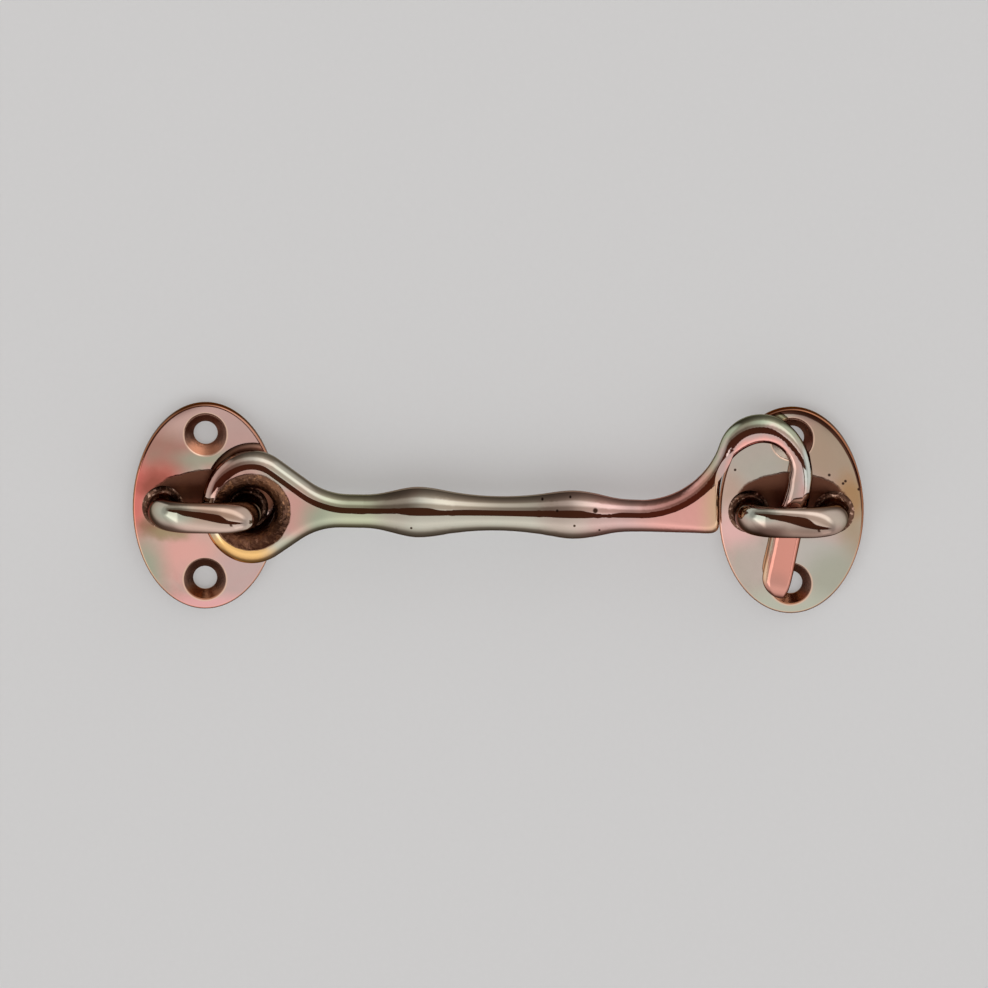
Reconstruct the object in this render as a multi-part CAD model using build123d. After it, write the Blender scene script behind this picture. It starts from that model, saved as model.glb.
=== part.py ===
from build123d import *
import os
from math import atan2, cos, degrees, hypot, radians, sin, sqrt, tan

# A cabin hook for a wall: millimetres, X along the arm, Z up, wall on the plane Y = 0.
# Every piece is drawn lying on the wall, with x along X, y along Z and height away from the wall.
# The origin is the middle of the pivot plate's back.

# Oval plates
PLATE_WIDTH = 30.2
PLATE_HEIGHT = 43.6
PLATE_THICKNESS = 3.2
PLATE_EDGE_THICKNESS = 2.3
PLATE_EDGE_ROUND = 0.6
PLATE_SPACING = 122.1
SCREW_SPACING = 30.8
SCREW_HOLE_DIAMETER = 5.0
SCREW_SINK_DIAMETER = 8.8
SCREW_SINK_ANGLE = 90.0

# Staples, bent from round bar and riveted through the plates
BAR_DIAMETER = 6.4
LEG_SPACING = 17.3
BEND_RADIUS = 6.0
FOOT_DIAMETER = 9.0
FOOT_HEIGHT = 1.6
TAIL_DIAMETER = 4.6
TAIL_HEAD_DIAMETER = 6.2
TAIL_HEAD_DEPTH = 0.9
TAIL_CLEARANCE = 0.05

# Arm: how it hangs, its eye, and the clearances of the eye on the pivot staple
ARM_RISE = 0.5
ARM_DROOP = 0.5
EYE_THICKNESS = 7.0
EYE_GAP = 0.4
EYE_PLAY = 3.2
LEG_GAP = 0.5
EYE_HALF_WIDTH = 10.4
EYE_HALF_HEIGHT = 11.95
EYE_RISE = 0.55
EYE_EDGE_LAND = 0.05
EYE_END_MARGIN = 0.4
DISH_DIAMETER = 16.3
DISH_LAND = 2.2
DISH_SAG = 0.4
FLARE_SLOPE = 35.5
FLARE_RADIUS = 14.0

# Arm: its turned shank with two knuckles
NECK_REACH = 33.0
FIRST_KNUCKLE_REACH = 43.4
FIRST_KNUCKLE_DIAMETER = 10.5
WAIST_REACH = 61.4
WAIST_DIAMETER = 7.2
SECOND_KNUCKLE_REACH = 77.2
SECOND_KNUCKLE_DIAMETER = 10.1
SHANK_END_DIAMETER = 6.7
FLANK_PLACE = 0.45
FLANK_DROP = 0.54
BURIED_LENGTH = 4.0
BURIED_TAPER = 0.25

# Arm: its hook, with places measured back from the middle of the keeper plate
WALL_SETBACK = 15.1
ARCH_SETBACK = 6.7
ARCH_RISE = 21.9
ARCH_BACK_RADIUS = 9.0
ARCH_FRONT_RADIUS = 14.9
ARCH_TURN = 47.0
ARCH_THICKNESS = 6.4
ARCH_OUTER_ROUND = 3.5
SWEEP_RADIUS = 17.3
THROAT_SETBACK = 6.2
THROAT_RISE = 16.2
THROAT_RADIUS = 5.6
THROAT_WALL_RADIUS = 10.5
SHOULDER_ROUND = 3.2
HEEL_ROUND = 1.8
HEEL_EDGE_ROUND = 2.6
WALL_ROUND = 1.5
NECK_LAND = 0.04
LEAD_LENGTH = 6.0

# Arm: its tongue, which leans back under the arch
TONGUE_LEAN = 10.8
TONGUE_DROP = 17.4
TONGUE_ROOT_WIDTH = 5.2
TONGUE_WIDTH = 6.2
TONGUE_SWELL = 0.5
TONGUE_THICKNESS = 4.8
TONGUE_OUTER_ROUND = 0.9
TONGUE_INNER_ROUND = 2.3
TIP_LENGTH = 4.4
TIP_BIAS = 0.75
TIP_CLOSING_SHARE = 0.985

# Sections along each stretch of the hook's bar
LEAD_STEPS = 2
HEEL_STEPS = 5
CORNER_STEPS = 4
WALL_STEPS = 2
SWEEP_STEPS = 4
BACK_STEPS = 6
TOP_STEPS = 3
FRONT_STEPS = 5
TONGUE_STEPS = 6
TIP_STEPS = 6

# Heights and places that follow from the sizes above
DOME_SAG = PLATE_THICKNESS - PLATE_EDGE_THICKNESS
DOME_RADIUS = ((PLATE_HEIGHT / 2) ** 2 + DOME_SAG**2) / (2 * DOME_SAG)
LEG_REACH = LEG_SPACING / 2
ARM_HEIGHT = PLATE_THICKNESS + EYE_GAP + EYE_THICKNESS / 2
CROWN_HEIGHT = PLATE_THICKNESS + EYE_THICKNESS + 2 * EYE_GAP + BAR_DIAMETER / 2
EYE_HOLE_RADIUS = (BAR_DIAMETER + EYE_PLAY) / 2
EYE_REACH = LEG_REACH + EYE_PLAY / 2 - LEG_GAP
WALL_REACH = PLATE_SPACING - WALL_SETBACK
SHANK_RADIUS = SHANK_END_DIAMETER / 2
SHOULDER_THICKNESS = SHANK_END_DIAMETER - 2 * NECK_LAND

# Centres of the arcs that the hook is drawn with, each arc tangent to the next
ARCH_REACH = PLATE_SPACING - ARCH_SETBACK
BACK_HUB = (ARCH_REACH, ARCH_RISE - ARCH_BACK_RADIUS)
FRONT_TURN = radians(ARCH_TURN)
FRONT_SHIFT = ARCH_BACK_RADIUS - ARCH_FRONT_RADIUS
FRONT_HUB = (BACK_HUB[0] + FRONT_SHIFT * cos(FRONT_TURN), BACK_HUB[1] + FRONT_SHIFT * sin(FRONT_TURN))
THROAT_HUB = (PLATE_SPACING - THROAT_SETBACK, THROAT_RISE - THROAT_RADIUS)
SWEEP_RISE = SHANK_RADIUS + SWEEP_RADIUS
SWEEP_SPAN = sqrt((SWEEP_RADIUS + ARCH_BACK_RADIUS) ** 2 - (BACK_HUB[1] - SWEEP_RISE) ** 2)
SWEEP_HUB = (ARCH_REACH - SWEEP_SPAN, SWEEP_RISE)
WALL_HUB_REACH = WALL_REACH + THROAT_WALL_RADIUS
WALL_DROP = sqrt((THROAT_WALL_RADIUS - THROAT_RADIUS) ** 2 - (WALL_HUB_REACH - THROAT_HUB[0]) ** 2)
WALL_HUB = (WALL_HUB_REACH, THROAT_HUB[1] - WALL_DROP)
WALL_TOP = (WALL_REACH, WALL_HUB[1])
SHANK_END = SWEEP_HUB[0]
LEAN = radians(TONGUE_LEAN)
UP = radians(90)


def dome_height(x, y):
    """Height of a plate's domed front at a place on the plate."""
    return PLATE_THICKNESS - DOME_RADIUS + sqrt(DOME_RADIUS**2 - x**2 - y**2)


def plate_blank():
    """An oval plate with its domed front and rounded rim, before it is drilled."""
    prism = extrude(Ellipse(PLATE_WIDTH / 2, PLATE_HEIGHT / 2), PLATE_THICKNESS)
    dome = Pos(0, 0, PLATE_THICKNESS - DOME_RADIUS) * Rot(90, 0, 0) * Sphere(DOME_RADIUS)
    blank = prism & dome
    rim = blank.faces().sort_by(Axis.Z)[-1].edges()
    return fillet(rim, PLATE_EDGE_ROUND)


def turned(points):
    """A solid of revolution about the height axis, from its half section (radius, height)."""
    half = make_face(Plane.XZ * Polyline(*points, close=True))
    return revolve(half, Axis.Z)


def screw_cutter(y):
    """A countersunk screw hole at the domed front, in line with the plate's long axis."""
    front = dome_height(0, y)
    hole = SCREW_HOLE_DIAMETER / 2
    spread = tan(radians(SCREW_SINK_ANGLE / 2))
    sink_depth = (SCREW_SINK_DIAMETER / 2 - hole) / spread
    above = front + PLATE_THICKNESS
    rim = SCREW_SINK_DIAMETER / 2 + PLATE_THICKNESS * spread
    below = -PLATE_THICKNESS
    points = [(0, below), (hole, below), (hole, front - sink_depth), (rim, above), (0, above)]
    return Pos(0, y, 0) * turned(points)


def tail(grow, top):
    """A riveted tail with its peened head flush with the plate's back, made larger by grow."""
    shaft = TAIL_DIAMETER / 2 + grow
    head = TAIL_HEAD_DIAMETER / 2 + grow
    return turned([(0, 0), (head, 0), (shaft, TAIL_HEAD_DEPTH), (shaft, top), (0, top)])


def plate():
    """One plate, drilled for two screws and for the two tails of its staple."""
    body = plate_blank()
    for side in (-1, 1):
        body -= screw_cutter(side * SCREW_SPACING / 2)
        body -= Pos(side * LEG_REACH, 0, 0) * tail(TAIL_CLEARANCE, 2 * PLATE_THICKNESS)
    return body


def foot():
    """The flared foot that a leg of a staple stands on, reaching below the plate's front."""
    bar = BAR_DIAMETER / 2
    seat = dome_height(LEG_REACH, 0)
    base = seat - PLATE_THICKNESS / 2
    top = seat + FOOT_HEIGHT
    flare = TangentArc((bar, top), (FOOT_DIAMETER / 2, seat), tangent=(0, -1))
    rest = Polyline((FOOT_DIAMETER / 2, seat), (FOOT_DIAMETER / 2, base), (0, base), (0, top), (bar, top))
    half = make_face(Plane.XZ * (Curve() + flare + rest))
    return revolve(half, Axis.Z)


def staple():
    """A bar bent into an arch, cut to sit on the domed front, with a tail under each foot."""
    base = dome_height(LEG_REACH, 0) - PLATE_THICKNESS / 2
    path = Plane.XZ * FilletPolyline(
        (-LEG_REACH, base),
        (-LEG_REACH, CROWN_HEIGHT),
        (LEG_REACH, CROWN_HEIGHT),
        (LEG_REACH, base),
        radius=BEND_RADIUS,
    )
    body = sweep(Pos(-LEG_REACH, 0, base) * Circle(BAR_DIAMETER / 2), path)
    for side in (-1, 1):
        body += Pos(side * LEG_REACH, 0, 0) * foot()
    body -= plate_blank()
    for side in (-1, 1):
        body += Pos(side * LEG_REACH, 0, 0) * tail(0, PLATE_THICKNESS + FOOT_HEIGHT)
    return body


def eye():
    """The eye: an oval that tapers to the neck, rounded all along its edge and dished on both sides."""
    slope = radians(FLARE_SLOPE)
    neck = EYE_THICKNESS / 2
    turn = atan2(EYE_HALF_HEIGHT, EYE_HALF_WIDTH * tan(slope))
    touch_x = EYE_REACH + EYE_HALF_WIDTH * cos(turn)
    touch_rise = EYE_HALF_HEIGHT * sin(turn)
    upper = (touch_x, EYE_RISE + touch_rise)
    lower = (touch_x, EYE_RISE - touch_rise)
    upper_corner = (touch_x + (upper[1] - neck) / tan(slope), neck)
    lower_corner = (touch_x + (-neck - lower[1]) / tan(slope), -neck)
    oval = EllipticalCenterArc(
        (EYE_REACH, EYE_RISE),
        EYE_HALF_WIDTH,
        EYE_HALF_HEIGHT,
        degrees(turn),
        arc_size=360 - 2 * degrees(turn),
    )
    sides = Polyline(lower, lower_corner, (NECK_REACH, -neck), (NECK_REACH, neck), upper_corner, upper)
    outline = make_face(Curve() + oval + sides)
    corners = [v for v in outline.vertices() if touch_x + EYE_END_MARGIN < v.X < NECK_REACH - EYE_END_MARGIN]
    outline = fillet(corners, FLARE_RADIUS)
    body = extrude(outline, EYE_THICKNESS / 2, both=True)
    flats = body.faces().filter_by(Plane.XY)
    rims = [e for e in flats.edges() if e.center().X < NECK_REACH - EYE_END_MARGIN]
    body = fillet(rims, EYE_THICKNESS / 2 - EYE_EDGE_LAND)
    return body - Pos(EYE_REACH, 0, 0) * dish()


def dish():
    """The cutter for the eye's hole and the shallow bowl around it, front and back."""
    rim = DISH_DIAMETER / 2
    face = EYE_THICKNESS / 2
    land = DISH_LAND / 2
    front = SagittaArc((EYE_HOLE_RADIUS, land), (rim, face), DISH_SAG)
    back = SagittaArc((rim, -face), (EYE_HOLE_RADIUS, -land), DISH_SAG)
    wall = Line((EYE_HOLE_RADIUS, -land), (EYE_HOLE_RADIUS, land))
    over = 2 * face
    middle = Polyline((rim, face), (rim, over), (0, over), (0, -over), (rim, -over), (rim, -face))
    return revolve(make_face(Plane.XZ * (Curve() + front + middle + back + wall)), Axis.Z)


def flank(knuckle, low):
    """A point of the shank's profile on the hollow side of a knuckle."""
    return (mix(knuckle[0], low[0], FLANK_PLACE), mix(knuckle[1], low[1], FLANK_DROP))


def shank():
    """The turned shank: two knuckles with hollow flanks, and a tapered end buried in the shoulder."""
    neck = (NECK_REACH, EYE_THICKNESS / 2)
    first = (FIRST_KNUCKLE_REACH, FIRST_KNUCKLE_DIAMETER / 2)
    waist = (WAIST_REACH, WAIST_DIAMETER / 2)
    second = (SECOND_KNUCKLE_REACH, SECOND_KNUCKLE_DIAMETER / 2)
    end = (SHANK_END, SHANK_RADIUS)
    stations = [neck, flank(first, neck), first, flank(first, waist), waist]
    stations += [flank(second, waist), second, flank(second, end), end]
    profile = Spline(*stations, tangents=[(1, 0), (1, 0)])
    buried = (SHANK_END + BURIED_LENGTH, SHANK_RADIUS - BURIED_TAPER)
    rest = Polyline(end, buried, (buried[0], 0), (NECK_REACH, 0), neck)
    return revolve(make_face(Curve() + profile + rest), Axis.X)


def ray_to_circle(hub, angle, centre, radius, far):
    """Distance from a hub, along a direction, to the far or near crossing of a circle."""
    away_x = centre[0] - hub[0]
    away_y = centre[1] - hub[1]
    along = away_x * cos(angle) + away_y * sin(angle)
    half_chord = sqrt(radius**2 - away_x**2 - away_y**2 + along**2)
    return along + half_chord if far else along - half_chord


def polar(hub, angle, distance):
    """The point at a distance from a hub in a direction."""
    return (hub[0] + distance * cos(angle), hub[1] + distance * sin(angle))


def ease(share):
    """A smooth step from 0 to 1."""
    return share * share * (3 - 2 * share)


def mix(first, last, share):
    """A value between two others."""
    return first + (last - first) * share


def bar_section(inner, outer, thickness, outer_round, inner_round):
    """A section of the hook from its inner to its outer edge, with flat faces and a full outer edge."""
    width = hypot(outer[0] - inner[0], outer[1] - inner[1])
    along = ((outer[0] - inner[0]) / width, (outer[1] - inner[1]) / width)
    half = thickness / 2
    shoulder = width - outer_round
    nose = EllipticalCenterArc((shoulder, 0), outer_round, half, -90, arc_size=180)
    front = Line((shoulder, half), (inner_round, half))
    front_edge = RadiusArc((inner_round, half), (0, half - inner_round), -inner_round)
    side = Line((0, half - inner_round), (0, inner_round - half))
    back_edge = RadiusArc((0, inner_round - half), (inner_round, -half), -inner_round)
    back = Line((inner_round, -half), (shoulder, -half))
    frame = Plane((inner[0], inner[1], 0), x_dir=(along[0], along[1], 0), z_dir=(along[1], -along[0], 0))
    return frame * make_face(Curve() + nose + front + front_edge + side + back_edge + back)


def bearing(hub, point):
    """The direction from a hub to a point."""
    return atan2(point[1] - hub[1], point[0] - hub[0])


def shoulder_stations():
    """Sections from the end of the shank, along its underside and round the heel, up the throat's wall."""
    inner_points = []
    under = NECK_LAND - SHANK_RADIUS
    heel = (WALL_REACH - HEEL_ROUND, under + HEEL_ROUND)
    for step in range(HEEL_STEPS):
        inner_points.append((mix(SHANK_END, heel[0], step / HEEL_STEPS), under))
    for step in range(CORNER_STEPS):
        inner_points.append(polar(heel, -UP + UP * step / CORNER_STEPS, HEEL_ROUND))
    for step in range(WALL_STEPS):
        inner_points.append((WALL_REACH, mix(heel[1], WALL_TOP[1], step / WALL_STEPS)))
    stations = []
    full_round = SHANK_RADIUS - 2 * NECK_LAND
    for step in range(LEAD_STEPS):
        lead = SHANK_END - mix(LEAD_LENGTH, 0, step / LEAD_STEPS)
        stations.append(((lead, under), (lead, -under), SHOULDER_THICKNESS, full_round, full_round))
    turn_steps = CORNER_STEPS + WALL_STEPS
    for step, inner in enumerate(inner_points):
        angle = bearing(SWEEP_HUB, inner)
        outer = polar(SWEEP_HUB, angle, SWEEP_RADIUS + NECK_LAND)
        share = min(1, step / HEEL_STEPS)
        turn_share = max(0, (step - HEEL_STEPS) / turn_steps)
        outer_round = mix(full_round, SHOULDER_ROUND, share)
        edge_round = mix(HEEL_EDGE_ROUND, WALL_ROUND, ease(turn_share))
        inner_round = mix(full_round, edge_round, ease(share))
        stations.append((inner, outer, SHOULDER_THICKNESS, outer_round, inner_round))
    return stations


def bar_stations():
    """Inner and outer points of the bar, with its thickness and the rounding of its two edges."""
    stations = shoulder_stations()
    back_start = bearing(BACK_HUB, SWEEP_HUB)
    throat_join = polar(THROAT_HUB, bearing(WALL_HUB, THROAT_HUB), THROAT_RADIUS)
    join_turn = bearing(BACK_HUB, throat_join)
    sweep_start = bearing(SWEEP_HUB, WALL_TOP)
    sweep_end = bearing(SWEEP_HUB, BACK_HUB)
    rise_steps = SWEEP_STEPS + BACK_STEPS
    for step in range(SWEEP_STEPS):
        angle = mix(sweep_start, sweep_end, step / SWEEP_STEPS)
        reach = ray_to_circle(SWEEP_HUB, angle, WALL_HUB, THROAT_WALL_RADIUS, far=False)
        thickness = mix(SHOULDER_THICKNESS, ARCH_THICKNESS, step / rise_steps)
        points = (polar(SWEEP_HUB, angle, reach), polar(SWEEP_HUB, angle, SWEEP_RADIUS + NECK_LAND))
        stations.append((*points, thickness, SHOULDER_ROUND, WALL_ROUND))
    for step in range(BACK_STEPS):
        angle = mix(back_start, UP, step / BACK_STEPS)
        ring = (WALL_HUB, THROAT_WALL_RADIUS) if angle > join_turn else (THROAT_HUB, THROAT_RADIUS)
        reach = ray_to_circle(BACK_HUB, angle, *ring, far=True)
        thickness = mix(SHOULDER_THICKNESS, ARCH_THICKNESS, (SWEEP_STEPS + step) / rise_steps)
        outer_round = mix(SHOULDER_ROUND, ARCH_OUTER_ROUND, ease(step / BACK_STEPS))
        points = (polar(BACK_HUB, angle, reach), polar(BACK_HUB, angle, ARCH_BACK_RADIUS))
        stations.append((*points, thickness, outer_round, WALL_ROUND))
    fall_steps = TOP_STEPS + FRONT_STEPS + TONGUE_STEPS
    for step in range(TOP_STEPS):
        angle = mix(UP, FRONT_TURN, step / TOP_STEPS)
        reach = ray_to_circle(BACK_HUB, angle, THROAT_HUB, THROAT_RADIUS, far=True)
        points = (polar(BACK_HUB, angle, reach), polar(BACK_HUB, angle, ARCH_BACK_RADIUS))
        stations.append((*points, *fall_section(step / fall_steps)))
    for step in range(FRONT_STEPS):
        angle = mix(FRONT_TURN, -LEAN, step / FRONT_STEPS)
        reach = ray_to_circle(FRONT_HUB, angle, THROAT_HUB, THROAT_RADIUS, far=True)
        reach = max(reach, ARCH_FRONT_RADIUS - TONGUE_ROOT_WIDTH)
        points = (polar(FRONT_HUB, angle, reach), polar(FRONT_HUB, angle, ARCH_FRONT_RADIUS))
        stations.append((*points, *fall_section((TOP_STEPS + step) / fall_steps)))
    root = polar(FRONT_HUB, -LEAN, ARCH_FRONT_RADIUS)
    tip_start = (root[1] + TONGUE_DROP) / cos(LEAN) - TIP_LENGTH
    for step in range(TONGUE_STEPS):
        share = step / TONGUE_STEPS
        width = mix(TONGUE_ROOT_WIDTH, TONGUE_WIDTH, ease(min(1, share / TONGUE_SWELL)))
        outer = polar(root, -LEAN - UP, tip_start * share)
        inner = polar(outer, -LEAN, -width)
        stations.append((inner, outer, *fall_section((TOP_STEPS + FRONT_STEPS + step) / fall_steps)))
    for step in range(TIP_STEPS + 1):
        share = TIP_CLOSING_SHARE * sin(UP * step / TIP_STEPS)
        left = sqrt(1 - share**2)
        edge = polar(root, -LEAN - UP, tip_start + TIP_LENGTH * share)
        outer = polar(edge, -LEAN, -(1 - left) * TONGUE_WIDTH * (1 - TIP_BIAS))
        inner = polar(outer, -LEAN, -left * TONGUE_WIDTH)
        stations.append((inner, outer, *[left * size for size in fall_section(1)]))
    return stations


def fall_section(share):
    """Thickness, outer and inner rounding of the bar, from the top of the arch to the tongue."""
    return (
        mix(ARCH_THICKNESS, TONGUE_THICKNESS, ease(share)),
        mix(ARCH_OUTER_ROUND, TONGUE_OUTER_ROUND, ease(share)),
        mix(WALL_ROUND, TONGUE_INNER_ROUND, ease(share)),
    )


def arm():
    """The arm, cast in one piece: eye, shank, shoulder and hook."""
    bar = loft([bar_section(*station) for station in bar_stations()])
    hang = Pos(LEG_REACH, 0, ARM_HEIGHT) * Rot(0, 0, -ARM_DROOP) * Pos(-LEG_REACH, ARM_RISE, 0)
    return hang * (eye() + shank() + bar)


os.makedirs("parts", exist_ok=True)
keeper = Pos(PLATE_SPACING, 0, 0)
pieces = {
    "pivot_plate": plate(),
    "pivot_staple": staple(),
    "hook_arm": arm(),
    "keeper_plate": keeper * plate(),
    "keeper_staple": keeper * staple(),
}
for name, piece in pieces.items():
    export_step(Plane.XZ * piece, f"parts/{name}.step")
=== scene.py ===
from math import cos, pi, radians, sin

import bpy
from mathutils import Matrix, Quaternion, Vector


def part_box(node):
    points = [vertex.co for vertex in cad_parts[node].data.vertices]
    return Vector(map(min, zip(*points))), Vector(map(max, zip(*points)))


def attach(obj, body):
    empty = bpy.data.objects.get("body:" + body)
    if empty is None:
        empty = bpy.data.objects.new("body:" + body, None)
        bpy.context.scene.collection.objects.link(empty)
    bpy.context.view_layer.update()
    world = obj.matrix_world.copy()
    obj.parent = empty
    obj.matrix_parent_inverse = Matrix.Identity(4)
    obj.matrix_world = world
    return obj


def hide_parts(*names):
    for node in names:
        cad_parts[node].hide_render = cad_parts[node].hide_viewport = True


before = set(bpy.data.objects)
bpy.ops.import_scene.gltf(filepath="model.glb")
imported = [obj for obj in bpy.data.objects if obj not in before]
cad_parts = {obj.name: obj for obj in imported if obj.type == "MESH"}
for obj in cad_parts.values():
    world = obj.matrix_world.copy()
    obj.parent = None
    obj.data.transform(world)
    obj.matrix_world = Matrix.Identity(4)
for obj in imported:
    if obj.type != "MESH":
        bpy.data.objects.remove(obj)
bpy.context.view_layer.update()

# Lengths are in metres, in the frame of the solids: X along the arm, Z up, the wall on Y = 0.
MM = 0.001

# The photograph, and the camera that took it
PHOTO_PIXELS = 988
PIXELS_PER_METRE = 4797
CAMERA_ELEVATION = radians(11.5)
CAMERA_ROLL = radians(0.45)
CAMERA_DISTANCE = 3.0
CAMERA_SENSOR = 36.0
PICTURE_CENTRE = Vector((60.14, 0, 2.7)) * MM

# The wall that the hook lies on
WALL_SIZE = 6.0
WALL_GAP = 0.2 * MM
WALL_COLOUR = (0.795, 0.803, 0.808)
WALL_FIBRE_SHADE = 0.96
WALL_ROUGHNESS = 0.9
WALL_SHEEN = 0.1
WALL_GLOW = (0.575, 0.573, 0.571)
WALL_GLOW_SHARE = 0.45

# Smoothing of the polished copies
MERGE_DISTANCE = 0.015 * MM
SLIVER = 0.01 * MM
CREASE_ANGLE = radians(32)

# The even curve that a plate's domed front is shaded as
DOME_TOLERANCE = 0.03 * MM
DOME_STEEPEST = 0.992
DOME_FLATNESS = 0.62
PLATE_EDGE_THICKNESS = 2.3 * MM
PIVOT_DOME_TWIST = -0.0010
PIVOT_DOME_LEAN = -0.006
KEEPER_DOME_TWIST = 0.0012
KEEPER_DOME_LEAN = -0.005

# The twist and flattening that the staples' crowns are shaded with
CROWN_TWIST = -0.040
PIVOT_CROWN_FLATNESS = 0.065
KEEPER_CROWN_FLATNESS = 0.09

# Where the pieces stand, in millimetres
pivot_low, pivot_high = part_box("pivot_plate")
keeper_low, keeper_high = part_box("keeper_plate")
PIVOT_REACH = (pivot_low.x + pivot_high.x) / 2 / MM
KEEPER_REACH = (keeper_low.x + keeper_high.x) / 2 / MM
PLATE_HALF_WIDTH = (pivot_high.x - pivot_low.x) / 2 / MM
PLATE_HALF_HEIGHT = (pivot_high.z - pivot_low.z) / 2 / MM
PLATE_THICKNESS = pivot_high.y - pivot_low.y
SCREW_RISE = 15.4
SINK_RADIUS = 4.4
EYE_CENTRE = (7.0, 1.0)
EYE_REACH = (14.0, 13.0)
DISH_CENTRE = (9.75, 0.5)
DISH_RADIUS = 8.15
DEEP_CENTRE = (DISH_CENTRE[0] - 0.5, DISH_CENTRE[1] + 1.5)
DEEP_REACH = (6.6, 6.4)
THROAT_CENTRE = (115.8, 10.2)

# Heights off the wall, in millimetres, over which one finish gives way to the next
BACK_HEIGHTS = (0.05, 0.12)
SIDE_HEIGHTS = (1.9, 2.25)
TAIL_HEIGHTS = (0.3, 0.8)
FOOT_HEIGHTS = (4.6, 6.0)
LEG_HEIGHTS = (8.0, 11.0)
EYE_BACK_HEIGHTS = (4.6, 6.6)

# How many waves each noise has to the metre
PLATE_BLOOM_SCALE = 60.0
STAPLE_BLOOM_SCALE = 45.0
ARM_BLOOM_SCALE = 45.0
HAZE_SCALE = 420.0
RAGGED_SCALE = 350.0
POLISHING_SCALE = 150.0
LUMP_SCALE = 750.0
GRAIN_SCALE = 2600.0
SPECK_SCALE = 1300.0
STROKE_SCALE = 2200.0
FIBRE_SCALE = 900.0

# Heights of the polishing waves and of rough casting, in millimetres, and how dull polished metal is
POLISHING_WAVES = 0.006
LUMP_HEIGHT = 0.30
GRAIN_HEIGHT = 0.06
CASTING_POLISH = 0.05
BAR_POLISH = 0.06

# Edges of the painted patches: how soft they are and how far they wander, as shares of the patch
PATCH_RAGGEDNESS = 0.3
PATCH_WITHIN_SOFTNESS = 0.6
STAIN_SOFTNESS = 0.65
STAIN_RAGGEDNESS = 1.1
PIT_SOFTNESS = 0.35
PIT_RAGGEDNESS = 0.9
PIT_DULLNESS = 0.15
PLATE_PIT_RADIUS = 0.28
ARM_PIT_RADIUS = 0.25
LARGE_PIT_RADIUS = 0.5
BAR_PATCH_SOFTNESS = 0.65
BAR_PATCH_STRENGTH = 0.87

# A reach, in metres, so long that a patch goes right through a piece
ENDLESS = 1.0

# The dark crescent on a plate's edge, a painted reflection of the tent's dark slot, and the coppery rim
# inside it
PIVOT_CRESCENT_SHIFT = (0.30, -0.45)
KEEPER_CRESCENT_SHIFT = (-0.55, -1.25)
CRESCENT_MARGIN = 0.1
CRESCENT_SOFTNESS = 0.006
CRESCENT_RAGGEDNESS = 0.012
RIM_WIDTH = 0.35
RIM_HEIGHT = 0.4
RIM_SOFTNESS = 0.012
RIM_STRENGTH = 0.8

# The countersinks: a painted highlight on the rim, a brown cone and painted light low in it
SINK_RIM = 0.3
SINK_RIM_SOFTNESS = 0.03
SINK_SOFTNESS = 0.02
SINK_RAGGEDNESS = 0.02
SINK_GLOW_DROP = 3.2
SINK_GLOW_REACH = (3.6, 2.2)
SINK_GLOW_STRENGTH = 0.9
SINK_DULLNESS = 0.22
SINK_GRAIN = 0.10

# The dark brown oval behind each staple: a painted reflection of the staple, with painted shade around its
# feet
DARK_OVAL_SOFTNESS = 0.04
DARK_OVAL_RAGGEDNESS = 0.16
DARK_OVAL_DULLNESS = 0.26
DARK_OVAL_GRAIN = 0.10

# The rough casting of the staples' feet and of the dish, and the eye's back, brown as dull metal and as
# painted shade
ROUGH_CASTING = 0.9
FOOT_DULLNESS = 0.28
LEG_DULLNESS = 0.10
LEG_GRAIN = 0.05
EYE_SOFTNESS = 0.3
EYE_BACK_STRENGTH = 0.85
DISH_SOFTNESS = 0.02
DISH_RAGGEDNESS = 0.05
DISH_DULLNESS = 0.26
DEEP_SOFTNESS = 0.25
DEEP_RAGGEDNESS = 0.5
DEEP_STRENGTH = 0.7

# The painted glints of a rough casting and the strokes of a ground back
SPECK_LIMITS = (0.54, 0.66)
SPECK_STRENGTH = 0.8
STROKE_STRETCH = (0.06, 1, 1)
STROKE_LIMITS = (0.35, 0.7)
STROKE_STRENGTH = 0.6
BACK_DULLNESS = 0.30
BACK_GRAIN = 0.06

# The bands of heat bloom: where each one stands between 0 and 1, and its colour
BLOOM_STOPS = [
    (0.20, (0.60, 0.26, 0.20)),
    (0.36, (0.55, 0.31, 0.27)),
    (0.46, (0.50, 0.36, 0.31)),
    (0.54, (0.41, 0.40, 0.31)),
    (0.64, (0.50, 0.37, 0.34)),
    (0.80, (0.43, 0.41, 0.34)),
]

# Colours of the heat bloom, and of painted reflections and painted shade
PINK = (0.56, 0.295, 0.25)
PALE_PINK = (0.53, 0.36, 0.34)
WARM_PINK = (0.70, 0.36, 0.31)
DUSKY_PINK = (0.46, 0.31, 0.28)
BLUSH = (0.60, 0.38, 0.335)
CORAL = (0.74, 0.38, 0.37)
ROSE = (0.72, 0.43, 0.40)
RED = (0.52, 0.13, 0.10)
BRIGHT_RED = (0.64, 0.145, 0.12)
DARK_RED = (0.27, 0.075, 0.052)
RUSSET = (0.345, 0.16, 0.12)
SALMON = (0.64, 0.265, 0.205)
GREEN = (0.40, 0.41, 0.31)
PALE_GREEN = (0.45, 0.445, 0.37)
MIST_GREEN = (0.45, 0.46, 0.37)
SAGE = (0.31, 0.345, 0.25)
MOSS_GREY = (0.37, 0.365, 0.29)
WARM_GREY = (0.41, 0.375, 0.32)
PALE_GREY = (0.48, 0.44, 0.40)
PINK_GREY = (0.46, 0.38, 0.33)
BEIGE = (0.56, 0.40, 0.23)
TAN = (0.46, 0.32, 0.25)
KHAKI = (0.37, 0.28, 0.20)
PALE_KHAKI = (0.38, 0.29, 0.20)
OLIVE = (0.34, 0.26, 0.15)
AMBER = (0.37, 0.21, 0.095)
PAINTED_GOLD_REFLECTION = (0.75, 0.44, 0.16)
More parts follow.
